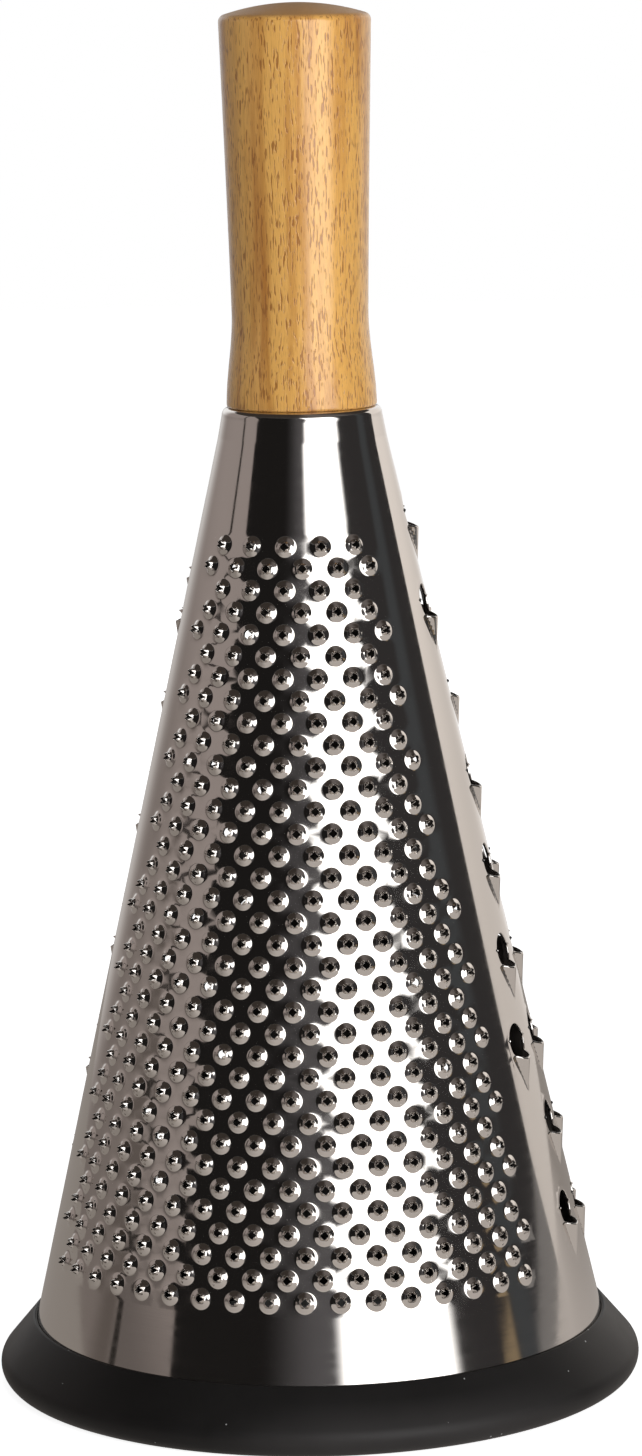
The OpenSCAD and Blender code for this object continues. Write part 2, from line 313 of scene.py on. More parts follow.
def steel_material(finish):
    """Polished stainless sheet, lightly brushed round the cone; inside it is rougher, and
    darkened by painted shade.
    """
    made, tree, shader = new_material("polished_steel")
    place = node(tree, "TexCoord").outputs["Object"]
    normal = node(tree, "NewGeometry").outputs["Normal"]
    level = node(tree, "VectorMath", {0: place, 1: (1, 1, 0)}, operation="MULTIPLY").outputs[0]
    outward = dotted(tree, level, normal)
    inside = sums(tree, "LESS_THAN", outward, 0.0)
    colour = blended(tree, spread(tree, noise(tree, "steel cloud"), 0.35, 0.7),
                     rgba(finish.steel), rgba(finish.steel, 0.94))
    smear = spread(tree, noise(tree, "smear"), 0.3, 0.75, 0.75, 1.45)
    rough = times(tree, smear, finish.steel_rough)
    # Only the plain sheet is brushed, not the flanks of the teeth
    facing = sums(tree, "DIVIDE", outward, long(tree, level))
    brushed = times(tree, spread(tree, facing, 0.94, 0.965), 0.05)
    feed(tree, shader, {
        # Painted shade: the inside of the hollow cone, seen through the holes, is darkened to a
        # third of the steel
        "Base Color": blended(tree, inside, colour, rgba(finish.steel, 0.32)),
        "Roughness": sums(tree, "MULTIPLY_ADD", inside, 0.25, rough),
        "Metallic": 1.0,
        "Normal": bumped(tree, noise(tree, "brushing"), brushed, 0.02 * MM)})
    return made


def zinc_material(finish):
    """Plated steel of the screw, the washer and the plate."""
    made, tree, shader = new_material("plated_steel")
    cloud = noise(tree, "zinc cloud")
    feed(tree, shader, {
        "Base Color": blended(tree, spread(tree, cloud, 0.3, 0.7), rgba(finish.zinc),
                              rgba(finish.zinc, 0.72)),
        "Roughness": spread(tree, cloud, 0.3, 0.7, 0.24, 0.42),
        "Metallic": 1.0,
        "Normal": bumped(tree, cloud, 0.2, 0.03 * MM)})
    return made


# Layers of the wood's tone: a noise, the range of it that counts, and the layer's share
WOOD_LAYERS = (("broad grain", 0.38, 0.62, 0.25), ("fine grain", 0.36, 0.64, 0.3),
               ("growth rings", 0.40, 0.60, 0.45))


def beech_material(finish):
    """Oiled beech: soft growth rings along the handle, short dark flecks and a browner end."""
    made, tree, shader = new_material("beech")
    tone = 0.0
    for name, low, high, share in WOOD_LAYERS:
        layer = spread(tree, noise(tree, name), low, high)
        tone = sums(tree, "MULTIPLY_ADD", layer, share, tone)
    colour = blended(tree, spread(tree, tone, 0.28, 0.84), rgba(finish.wood_light),
                     rgba(finish.wood_dark))
    # The flecks show where their noise passes an edge, which is lower in some patches
    patches = spread(tree, noise(tree, "fleck patches"), 0.35, 0.7)
    edge = sums(tree, "SUBTRACT", 0.60, times(tree, patches, 0.07))
    past = sums(tree, "SUBTRACT", noise(tree, "flecks"), edge)
    flecks = spread(tree, past, 0.0, 0.05)
    fleck_colour = rgba(finish.wood_fleck)
    colour = blended(tree, times(tree, flecks, 0.85), colour, fleck_colour)
    pores = noise(tree, "pores")
    colour = blended(tree, spread(tree, pores, 0.5, 0.72, 0.0, 0.4), colour, fleck_colour)
    normal = node(tree, "NewGeometry").outputs["Normal"]
    up = node(tree, "SeparateXYZ", {"Vector": normal}).outputs["Z"]
    end = spread(tree, up, 0.55, 0.9)
    colour = blended(tree, times(tree, end, 0.85), colour, rgba(finish.wood_end))
    height = sums(tree, "SUBTRACT", times(tree, pores, -0.5), flecks)
    grain = bumped(tree, height, 0.5, 0.06 * MM)
    feed(tree, shader, {
        "Base Color": colour,
        "Roughness": spread(tree, pores, 0.3, 0.7, 0.33, 0.45),
        "Specular IOR Level": 0.3,
        "Normal": grain,
        "Coat Weight": spread(tree, end, 0.0, 1.0, 0.9, 0.1),
        "Coat IOR": 1.75,
        "Coat Roughness": 0.24,
        "Coat Normal": grain})
    return made


def rubber_material(finish):
    """Matte black rubber with a fine moulded grain, a little dust, and a painted sheen: a greyer
    patch low on the nose, towards the softbox.
    """
    made, tree, shader = new_material("black_rubber")
    cloud = noise(tree, "rubber cloud")
    colour = blended(tree, spread(tree, cloud, 0.35, 0.7), rgba(finish.rubber),
                     rgba(finish.rubber, 1.7))
    # Painted sheen: the patch lies low on the nose, on the front-right towards the softbox, where
    # the light falls
    place = node(tree, "TexCoord").outputs["Object"]
    facing = dotted(tree, place, around(finish.sheen_patch_turn, 1 / RING_R))
    height = node(tree, "SeparateXYZ", {"Vector": place}).outputs["Z"]
    sheen_patch = times(tree, spread(tree, facing, 0.80, 0.97), spread(tree, height, 10 * MM, 5 * MM))
    sheen_patch = times(tree, sheen_patch, spread(tree, cloud, 0.25, 0.6, 0.6, 1.0))
    # The patch's lighter colour is painted sheen, not a change in the rubber
    colour = blended(tree, sheen_patch, colour, rgba(finish.rubber, 4.2))
    dust = grouped(tree, "specks", scattered_specks,
                   {"Scale": 560.0, "Size": 0.10, "Amount": 0.10})
    feed(tree, shader, {
        "Base Color": blended(tree, dust, colour, rgba(finish.dust)),
        "Roughness": spread(tree, cloud, 0.3, 0.7, 0.42, 0.54),
        "Specular IOR Level": 0.24,
        "Normal": bumped(tree, noise(tree, "rubber grain"), 0.25, 0.05 * MM)})
    return made


def new_object(name, data):
    """Makes an object and puts it into the scene."""
    made = bpy.data.objects.new(name, data)
    bpy.context.scene.collection.objects.link(made)
    return made


def mesh_object(name, points, faces, material):
    """Makes a mesh object with one material."""
    mesh = bpy.data.meshes.new(name)
    mesh.from_pydata(points, [], faces)
    mesh.materials.append(material)
    return new_object(name, mesh)


def around(turn, far, z=0.0):
    """The point at a direction from the front, a distance from the axis and a height."""
    return far * math.sin(turn), -far * math.cos(turn), z


def new_piece(name, points, faces, material, replaced):
    """Makes a smooth piece that rides on the root and replaces a CAD node."""
    piece = mesh_object(name, points, faces, material)
    mesh = piece.data
    mesh.validate()
    mesh.polygons.foreach_set("use_smooth", [True] * len(mesh.polygons))
    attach(piece, "root")
    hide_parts(replaced)
    return piece


def arc(centre, radius, start, stop, steps):
    """Points of an arc in the plane, from one angle to another, both in degrees."""
    angles = np.radians(np.linspace(start, stop, steps + 1))
    return [(centre[0] + radius * math.cos(a), centre[1] + radius * math.sin(a)) for a in angles]


def tube(rows):
    """Faces of a tube, from each closed row of points to the next."""
    faces = []
    for one, two in zip(rows, rows[1:]):
        faces += zip(one, one[1:] + one[:1], two[1:] + two[:1], two)
    return faces


# Smaller radii count as lying on the axis
ON_AXIS = 1e-7


def lathe(profile, columns, closed=True):
    """Points and faces of a profile of (radius, height) turned about the Z axis."""
    angles = [2 * math.pi * k / columns for k in range(columns)]
    points, rows = [], []
    for radius, height in profile:
        first = len(points)
        if radius < ON_AXIS:
            points.append((0.0, 0.0, height))
            rows.append([first] * columns)
        else:
            points += [(radius * math.cos(a), radius * math.sin(a), height) for a in angles]
            rows.append(list(range(first, len(points))))
    # Faces at the axis have only three corners
    faces = [list(dict.fromkeys(face)) for face in tube(rows + rows[:1] if closed else rows)]
    return points, faces


class Cone:
    """The steel cone's outside, unrolled to a flat sector and back."""

    def __init__(self, sizes):
        self.sizes = sizes
        self.lean = math.atan((sizes.base_r - sizes.neck_r) / (JOINT_Z - RING_TOP))
        self.edge_z = RING_TOP - sizes.sunk
        self.collar_z = JOINT_Z - sizes.collar_h

    def radius(self, z):
        """Radius of the straight cone at a height."""
        return self.sizes.base_r - (z - RING_TOP) * math.tan(self.lean)

    def slant(self, z):
        """Distance from the cone's apex, along its side."""
        return self.radius(z) / math.sin(self.lean)

    def flat(self, turn, z):
        """Place of a point of the cone on the unrolled sheet."""
        return around(turn * math.sin(self.lean), self.slant(z))[:2]

    def rolled(self, flat, heights):
        """Points of the unrolled sheet, rolled up and lifted off the steel by their heights."""
        flat = np.asarray(flat)
        far = np.hypot(flat[:, 0], flat[:, 1])
        turn = np.arctan2(flat[:, 0], -flat[:, 1]) / math.sin(self.lean)
        radius = far * math.sin(self.lean)
        z = RING_TOP + (self.sizes.base_r - radius) / math.tan(self.lean)
        out, up = math.cos(self.lean), math.sin(self.lean)
        side = radius + heights * out
        return np.column_stack((side * np.sin(turn), -side * np.cos(turn), z + heights * up))

    def tooth_frame(self, turn, z):
        """Flat place of a tooth and the flat directions to its right and up the cone."""
        a = turn * math.sin(self.lean)
        right, up = (math.cos(a), math.sin(a)), (-math.sin(a), math.cos(a))
        return np.array(self.flat(turn, z)), np.array(right), np.array(up)


def zone_frames(cone, zone):
    """The flat frame of every tooth of a zone, in rows that stagger."""
    frames = []
    span = JOINT_Z - RING_TOP - zone.top_gap - zone.bottom_gap
    for i in range(zone.rows):
        share = i / (zone.rows - 1)
        z = JOINT_Z - zone.top_gap - span * share
        width = zone.top_w + (zone.bottom_w - zone.top_w) * share
        odd = (i + zone.first_odd) % 2
        count = max(2 * math.floor((width / zone.pitch + 1 - odd) / 2 + 0.5) + odd, 1)
        step = zone.pitch / cone.radius(z)
        for j in range(count):
            frames.append(cone.tooth_frame(zone.turn + (j - (count - 1) / 2) * step, z))
    return frames


# How far the steel's normal leans away from a tooth where its foot starts
FOOT_TILT = 0.045
# What differs from one star tooth to the next: its turn in degrees, the share of its height,
# and the share of each point's height
STAR_SEED = 11
STAR_TURN = (-5, 5)
STAR_PEAK = (0.95, 1.03)
STAR_POINT = (0.88, 1.04)
# Angles of a quarter of a star tooth, from one corner of its hole to the next
STAR_ANGLES = (0, 8, 18, 28, 37, 45, 53, 62, 72, 82)
# The swelling of a star tooth as shares: how far out from the middle, and how high
STAR_SWELL = ((0.94, 0.004), (0.89, 0.012), (0.845, 0.026), (0.80, 0.052), (0.74, 0.098),
              (0.67, 0.158), (0.60, 0.217), (0.53, 0.270), (0.47, 0.305))
# Height of the notches at the corners of the hole, and radius of the crown's foot, as shares
STAR_NOTCH_SHARE = 0.44
STAR_CROWN_SHARE = 0.49
# Heights of the crown's rings as shares, how far its flat sides lean in, how far its rounded
# sides do, and how much wider it is than they say
STAR_CROWN_STEPS = (0.35, 0.7)
STAR_SIDE_LEAN = 0.5
STAR_BEND_LEAN = 0.72
STAR_CROWN_GROW = 1.03
# The rounded edge of the hole in metres: how far out from the hole, and how far below the top
STAR_EDGE = ((0.11 * MM, 0.09 * MM), (0.05 * MM, 0.02 * MM), (0, 0), (0.01 * MM, 0.06 * MM))
# Two rings inside the crown: share of the way from the hole to the crown's foot; how far they
# lie within the outside; how far the upper one is let down, and how deep the lower one lies
STAR_HOLLOW = (0.3, 0.8)
STAR_INSET = 0.06 * MM
STAR_LET_DOWN = 0.1 * MM
STAR_DEPTH = 0.05 * MM
# Inside of the swelling: share of the foot's radius, and depth as a share of the sheet
STAR_BACK = ((0.62, 0.7), (0.82, 0.97), (1, 1))


def star_tooth(zone, sheet_t, rng):
    """Rings of a star tooth: a round swelling, and on it a crown of four points that a
    four-sided punch has burst open, with a deep notch at each corner of the hole."""
    angles = np.radians([quarter * 90 + a for quarter in range(4) for a in STAR_ANGLES])
    lean = math.radians(rng.uniform(*STAR_TURN))
    foot, peak = zone.reach, zone.height * rng.uniform(*STAR_PEAK)
    # The side of the hole: how far along it, from 0 at a corner to 1 at its middle
    from_corner = math.pi / 4 - np.abs(angles % (math.pi / 2) - math.pi / 4)
    wide = np.cos(from_corner) + np.sin(from_corner)
    hole = zone.hole / wide
    along = 2 * np.sin(from_corner) / wide
    point = np.repeat([rng.uniform(*STAR_POINT) for _ in range(4)], len(STAR_ANGLES))
    notch = peak * STAR_NOTCH_SHARE
    top = notch + (peak * point - notch) * along
    low = peak * STAR_SWELL[-1][1]
    crown = foot * STAR_CROWN_SHARE
    rings = [(foot, 0.0)]
    rings += [(foot * share, peak * rise) for share, rise in STAR_SWELL]
    # The crown has flat sides towards the corners of the hole, rounded into its points
    for share in STAR_CROWN_STEPS:
        height = low + (top - low) * share
        side = zone.hole * (1 - STAR_SIDE_LEAN * (height - notch) / (peak - notch)) \
            / np.cos(from_corner)
        bend = (crown - (crown - zone.hole * STAR_BEND_LEAN) * (height - low) / (peak - low)) \
            / np.cos(math.pi / 4 - from_corner)
        rings.append((np.minimum(side, bend) * STAR_CROWN_GROW, height))
    rings += [(hole + out, top - down) for out, down in STAR_EDGE]
    upper, lower = (hole * (1 - share) + crown * share - STAR_INSET for share in STAR_HOLLOW)
    rings.append((upper, low + (top - low) * STAR_HOLLOW[0] - STAR_LET_DOWN))
    rings.append((lower, -STAR_DEPTH))
    rings += [(foot * share, -depth * sheet_t) for share, depth in STAR_BACK]
    made = []
    for k, (radius, height) in enumerate(rings):
        twisted = angles + (lean if 0 < k < len(rings) - 1 else 0.0)
        made.append((radius * np.cos(twisted), radius * np.sin(twisted), height))
    return made


# Where a ramp tooth's drawn-out tip ends, as an angle from the tip; width of the skirt round
# its hole, as a share of the hole and as a rest; and how long the tip's skirt is
RAMP_TURN = math.radians(105)
RAMP_SKIRT_SHARE = 0.16
RAMP_SKIRT = 0.25 * MM
RAMP_TIP_SKIRT = 1.2
# Powers: how the columns crowd at the tip, and how its sides and its middle are drawn out
RAMP_CROWD = 1.15
RAMP_TIP_SIDE = 1.2
RAMP_TIP_DOWN = 0.8
# Width of the bulge as a share of the hole, the power it widens by, and where its front ends
RAMP_WIDE = 0.97
RAMP_WIDEN = 0.88
RAMP_FRONT = 0.3
# Rings of a ramp tooth, as shares of the way out from its hole, and the share they fade over
RAMP_SHARES = (1.0, 0.93, 0.84, 0.72, 0.6, 0.48, 0.36, 0.24, 0.13, 0.05)
RAMP_FADE = 0.12
# Softness of the crease round a ramp tooth, radius of its cutting lip, and the burr's drop
RAMP_CREASE = 0.10 * MM
RAMP_LIP_R = 0.06 * MM
RAMP_BURR = 0.02 * MM


def ramp_tooth(zone, sheet_t, columns):
    """Rings of a ramp tooth: a round hole whose lower edge is bulged up to a cutting lip."""
    hole = zone.hole
    length = hole + zone.reach
    slope = zone.height / zone.reach
    # More columns at the sharp tip than on the round side
    t = np.linspace(-1, 1, columns, endpoint=False)
    a = math.pi * np.sign(t) * np.abs(t) ** RAMP_CROWD
    rim_x, rim_y = hole * np.sin(a), -hole * np.cos(a)
    # The foot is a circle round the hole, drawn out to a tip where the ramp starts
    skirt = RAMP_SKIRT_SHARE * hole + RAMP_SKIRT
    down = np.clip((RAMP_TURN - np.abs(a)) / RAMP_TURN, 0, 1)
    side = np.sin(np.clip(np.abs(a) / RAMP_TURN, 0, 1) * math.pi / 2)
    foot_x = (hole + skirt) * np.where(down > 0, np.sign(a) * side ** RAMP_TIP_SIDE, np.sin(a))
    down = down ** RAMP_TIP_DOWN
    foot_y = -(hole + skirt) * np.cos(a) * (1 - down) - (length + skirt * RAMP_TIP_SKIRT) * down

    def bulge(x, y):
        """Height of the bulge over the sheet, with a soft crease round its foot."""
        far = np.clip((length + y) / length, 0, 1.2)
        wide = hole * RAMP_WIDE * far ** RAMP_WIDEN
        middle = slope * length * far - wide
        inside = wide ** 2 - x ** 2
        raw = np.where(inside > 0, middle + np.sqrt(np.maximum(inside, 0)),
                       middle - np.abs(x) + wide)
        eased = 0.5 * (raw + np.sqrt(raw ** 2 + 4 * RAMP_CREASE ** 2)) - RAMP_CREASE
        return np.maximum(np.where(y < hole * RAMP_FRONT, eased, 0), 0)

    made = []
    for share in RAMP_SHARES:
        x = rim_x + (foot_x - rim_x) * share
        y = rim_y + (foot_y - rim_y) * share
        made.append((x, y, bulge(x, y) * min(1.0, (1 - share) / RAMP_FADE)))
    edge = bulge(rim_x, rim_y)
    grow = 1 - RAMP_LIP_R / hole
    made.append((rim_x, rim_y, edge - RAMP_BURR))
    made.append((rim_x * grow, rim_y * grow, edge - RAMP_LIP_R * 1.5))
    made.append((rim_x * grow, rim_y * grow, edge - sheet_t + RAMP_LIP_R))
    made.append((rim_x, rim_y, edge - sheet_t))
    # Inside, every second ring is enough
    for x, y, height in reversed(made[:len(RAMP_SHARES):2]):
        made.append((x, y, height - sheet_t))
    return made


# Columns of the sheet round the cone, and steps along its seam
SHEET_COLUMNS = 240
SEAM_STEPS = 110
# Distance between the points that fill the plain sheet, and their margin to the teeth
FILL_GAP = 1.7 * MM
FILL_MARGIN = 0.3 * MM


def fill_points(cone):
    """Flat points all over the sheet, in staggered rows."""
    made = []
    low, high = cone.slant(cone.collar_z), cone.slant(cone.edge_z)
    start = cone.sizes.weld_turn - 2 * math.pi
    rows = int((high - low) / FILL_GAP)
    for i in range(1, rows):
        far = low + (high - low) * i / rows
        width = 2 * math.pi * math.sin(cone.lean) * far
        count = max(int(width / FILL_GAP), 12)
        stagger = 0.25 if i % 2 else 0.75
        for j in range(count):
            a = (start + 2 * math.pi * (j + stagger) / count) * math.sin(cone.lean)
            made.append(around(a, far)[:2])
    return np.array(made)


def clear_of_teeth(fill, teeth):
    """The flat points that keep their margin to the foot of every tooth."""
    free = np.ones(len(fill), bool)
    for place, across, up, rings in teeth:
        x, y, _ = rings[0]
        local = fill - place
        a, b = local @ across, local @ up
        near = np.where((np.abs(a) < np.abs(x).max() + FILL_MARGIN)
                        & (b < y.max() + FILL_MARGIN) & (b > y.min() - FILL_MARGIN))[0]
        for n in near:
            gap = np.hypot(x - a[n], y - b[n]).min()
            # A point lies in the foot if the foot's outline winds once round it
            turned = np.arctan2(np.roll(y, -1) - b[n], np.roll(x, -1) - a[n]) \
                - np.arctan2(y - b[n], x - a[n])
            wound = abs(((turned + math.pi) % (2 * math.pi) - math.pi).sum())
            if gap < FILL_MARGIN or wound > math.pi:
                free[n] = False
    return fill[free]


def sheet_border(cone, turns):
    """Flat points of the sheet's border, and its four sides as chains of their numbers:
    along the collar, down the seam, along the lower edge and up the seam."""
    heights = [cone.collar_z + (cone.edge_z - cone.collar_z) * k / SEAM_STEPS
               for k in range(SEAM_STEPS + 1)]
    flat = [cone.flat(turn, cone.collar_z) for turn in turns]
    flat += [cone.flat(turns[-1], z) for z in heights[1:]]
    flat += [cone.flat(turn, cone.edge_z) for turn in reversed(turns[:-1])]
    flat += [cone.flat(turns[0], z) for z in reversed(heights[1:-1])]
    numbers = [*range(len(flat)), 0]
    chains, first = [], 0
    for steps in (SHEET_COLUMNS, SEAM_STEPS, SHEET_COLUMNS, SEAM_STEPS):
        chains.append(numbers[first:first + steps + 1])
        first += steps
    return flat, chains


def sheet_faces(flat, chains, loops):
    """Triangles of the flat sheet, from its border to the feet of the teeth."""
    edges = []
    for chain in (*chains, *([*loop, loop[0]] for loop in loops)):
        edges += zip(chain, chain[1:])
    tooth = {v: number for number, loop in enumerate(loops) for v in loop}
    # In millimetres, because the triangulation works to a fixed tolerance
    scaled = [Vector((x * 1000, y * 1000)) for x, y in flat]
    verts, _, triangles, origins, *_ = geometry.delaunay_2d_cdt(scaled, edges, [], 1, 1e-5, True)
    if len(verts) != len(scaled):
        raise RuntimeError("the flat sheet's outlines cross")
    index = [ids[0] for ids in origins]
    top, right, _, left = (set(chain) for chain in chains)
    kept = []
    for face in triangles:
        a, b, c = (index[v] for v in face)
        inside = tooth.get(a, -1) == tooth.get(b, -2) == tooth.get(c, -3)
        # No sheet lies between three points of its hollow upper border or of its straight seam
        if not inside and not any(side.issuperset((a, b, c)) for side in (top, right, left)):
            kept.append((a, b, c))
    return kept


def collar_section(cone):
    """Radii and heights of the collar, the shoulder, the flange and the way back inside."""
    sizes = cone.sizes
    bend_at = (cone.radius(JOINT_Z) + sizes.flare - sizes.shoulder_r, JOINT_Z - sizes.shoulder_r)

    def side(inset, steps=8):
        """The collar and the shoulder, drawn in by an inset."""
        low = (cone.radius(cone.collar_z) - inset / math.cos(cone.lean), cone.collar_z)
        bend = arc(bend_at, sizes.shoulder_r - inset, 0, 90, 10)
        wall = [(low[0] + (bend[0][0] - low[0]) * k / steps,
                 low[1] + (bend[0][1] - low[1]) * k / steps) for k in range(1, steps)]
        return wall + bend

    edge = 0.1 * MM
    flange = [(sizes.flange_r + edge, JOINT_Z), (sizes.flange_r, JOINT_Z - edge),
              (sizes.flange_r, JOINT_Z - sizes.sheet_t)]
    return side(0.0) + flange + side(sizes.sheet_t)[::-1]


def sheet_mesh(cone, teeth):
    """The whole cone as one closed sheet with its teeth: its points, its faces, and the exact
    normals of the plain sheet's points, which come first."""
    start = cone.sizes.weld_turn - 2 * math.pi
    turns = [start + 2 * math.pi * k / SHEET_COLUMNS for k in range(SHEET_COLUMNS + 1)]
    flat, chains = sheet_border(cone, turns)
    loops = []
    for place, across, up, rings in teeth:
        x, y, _ = rings[0]
        loops.append(list(range(len(flat), len(flat) + len(x))))
        flat += [tuple(place + across * a + up * b) for a, b in zip(x, y)]
    flat += [tuple(p) for p in clear_of_teeth(fill_points(cone), teeth)]
    kept = sheet_faces(flat, chains, loops)
    top, right, bottom, left = chains
    # The two sides of the seam are one, so the sheet closes there
    same = dict(zip(right, reversed(left)))
    flat = np.array(flat)
    count = len(flat)
    points = [cone.rolled(flat, 0.0), cone.rolled(flat, -cone.sizes.sheet_t)]
    inward = points[0] - cone.rolled(flat, 1.0)
    outward = -inward
    faces = [tuple(same.get(v, v) for v in face) for face in kept]
    faces += [tuple(same.get(v, v) + count for v in reversed(face)) for face in kept]
    numbers = itertools.count(2 * count)

    def new_row(row):
        """Adds a row of points and returns their numbers."""
        points.append(row)
        return list(itertools.islice(numbers, len(row)))

    for (place, across, up, rings), loop in zip(teeth, loops):
        rows = [new_row(cone.rolled(place + np.outer(x, across) + np.outer(y, up), height))
                for x, y, height in rings[1:-1]]
        faces += tube([loop, *rows, [v + count for v in loop]])
        away = points[0][loop] - cone.rolled([place], 0.0)
        outward[loop] += FOOT_TILT * away / np.linalg.norm(away, axis=1)[:, None]
    rows = [new_row(np.array([around(turn, radius, z) for turn in turns[:-1]]))
            for radius, z in collar_section(cone)]
    faces += tube([top[:-1], *rows, [v + count for v in top[:-1]]])
    faces += tube([bottom[1:], [v + count for v in bottom[1:]]])
    return np.vstack(points), faces, np.vstack((outward, inward))


def set_first_normals(mesh, first):
    """Gives a mesh's first points normals of their own and leaves the others as they are."""
    normals = np.empty((len(mesh.vertices), 3))
    mesh.vertex_normals.foreach_get("vector", normals.ravel())
    normals[:len(first)] = first
    mesh.normals_split_custom_set_from_vertices(normals.tolist())


class GRATER_OT_cone(bpy.types.Operator):
    """Makes the steel cone with its three zones of teeth"""
    bl_idname = "grater.cone"
    bl_label = "Steel cone"

    def execute(self, context):
        scene = context.scene
        sizes = scene.grater_cone
        cone = Cone(sizes)
        rng = random.Random(STAR_SEED)
        fine = scene.grater_fine
        teeth = [(*spot, star_tooth(fine, sizes.sheet_t, rng))
                 for spot in zone_frames(cone, fine)]
        for zone, columns in ((scene.grater_medium, 32), (scene.grater_coarse, 56)):
            ramp = ramp_tooth(zone, sizes.sheet_t, columns)
            teeth += [(*spot, ramp) for spot in zone_frames(cone, zone)]
        points, faces, normals = sheet_mesh(cone, teeth)
        piece = new_piece("steel_cone", points.tolist(), faces,
                          steel_material(scene.grater_finish), "grater_cone")
        set_first_normals(piece.data, normals)
        return {"FINISHED"}


# Power of the handle's taper, from the waist to the rim
HANDLE_TAPER = 1.15


def handle_profile(sizes):
    """Half of the handle's section, from its foot to the top of its dome, above the steel."""
    foot_more, top_more = sizes.foot_r - sizes.waist_r, sizes.top_r - sizes.waist_r
    rim = (sizes.top_r - sizes.rim_r, sizes.rim_h)
    # The dome and the rounded rim meet where their arcs have the same direction
    dome_a = math.asin(rim[0] / (sizes.dome_r - sizes.rim_r))
    dome_z = sizes.rim_h - (sizes.dome_r - sizes.rim_r) * math.cos(dome_a)
    meet = 90 - math.degrees(dome_a)
    points = arc((sizes.foot_r - sizes.edge_r, sizes.edge_r), sizes.edge_r, -90, 0, 5)
    for h in np.linspace(sizes.edge_r, sizes.waist_h, 25)[1:]:
        flare = (1 + math.cos(math.pi * h / sizes.waist_h)) / 2
        points.append((sizes.waist_r + foot_more * flare, h))
    for s in np.linspace(0, 1, 49)[1:]:
        points.append((sizes.waist_r + top_more * s ** HANDLE_TAPER,
                       sizes.waist_h + (sizes.rim_h - sizes.waist_h) * s))
    points += arc(rim, sizes.rim_r, 0, meet, 8)[1:]
    points += arc((0, dome_z), sizes.dome_r, meet, 90, 14)[1:]
    return points


class GRATER_OT_handle(bpy.types.Operator):
    """Makes the turned beech handle"""
    bl_idname = "grater.handle"
    bl_label = "Handle"

    def execute(self, context):
        scene = context.scene
        sizes = scene.grater_handle
        hole = [(0.0, sizes.pilot_h), (sizes.pilot_r, sizes.pilot_h - sizes.pilot_r / 2),
                (sizes.pilot_r, sizes.pilot_edge), (sizes.pilot_r + sizes.pilot_edge, 0.0)]
        profile = [(r, z + JOINT_Z) for r, z in hole + handle_profile(sizes)]
        points, faces = lathe(profile, 128, closed=False)
        new_piece("turned_handle", points, faces, beech_material(scene.grater_finish),
                  "handle")
        return {"FINISHED"}


def ring_profile(sizes, cone):
    """The whole section of the ring, all round, with its groove for the steel."""
    steel = cone.sizes
    across = steel.sheet_t / math.cos(cone.lean)
    nose = (RING_R - sizes.nose_r, sizes.nose_r)
    lip = (cone.radius(RING_TOP) + sizes.fit + sizes.lip_r, RING_TOP - sizes.lip_r)
    gap = math.hypot(nose[0] - lip[0], nose[1] - lip[1])
    slope = math.degrees(math.atan2(nose[1] - lip[1], nose[0] - lip[0])
                         + math.acos((sizes.lip_r - sizes.nose_r) / gap))
    inner = cone.radius(RING_TOP) - across - sizes.wall
    inner_top = RING_TOP - sizes.drop
    points = arc(nose, sizes.nose_r, -90, slope, 20)
    points += arc(lip, sizes.lip_r, slope, 180, 8)
    edge = cone.edge_z
    points += [(cone.radius(edge) + sizes.fit, edge),
               (cone.radius(edge) - across - sizes.fit, edge),
               (cone.radius(inner_top) - across - sizes.fit, inner_top)]
    points += arc((inner + sizes.lip_r, inner_top - sizes.lip_r), sizes.lip_r, 90, 180, 5)
    points += arc((inner + sizes.lip_r, sizes.lip_r), sizes.lip_r, 180, 270, 5)
    return points


class GRATER_OT_ring(bpy.types.Operator):
    """Makes the rubber ring"""
    bl_idname = "grater.ring"
    bl_label = "Rubber ring"

    def execute(self, context):
        scene = context.scene
        profile = ring_profile(scene.grater_ring, Cone(scene.grater_cone))
        points, faces = lathe(profile, 240)
        new_piece("rubber_ring", points, faces, rubber_material(scene.grater_finish),
                  "base_ring")
        return {"FINISHED"}


class GRATER_OT_fastening(bpy.types.Operator):
    """Finishes the plate, the washer and the screw inside the cone"""
    bl_idname = "grater.fastening"
    bl_label = "Fastening"

    def execute(self, context):
        material = zinc_material(context.scene.grater_finish)
        for name in ("top_plate", "screw_washer", "handle_screw"):
            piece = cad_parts[name]
            if not piece.data.materials:
                piece.data.materials.append(None)
            for place in piece.material_slots:
                place.link = "OBJECT"
                place.material = material
        return {"FINISHED"}


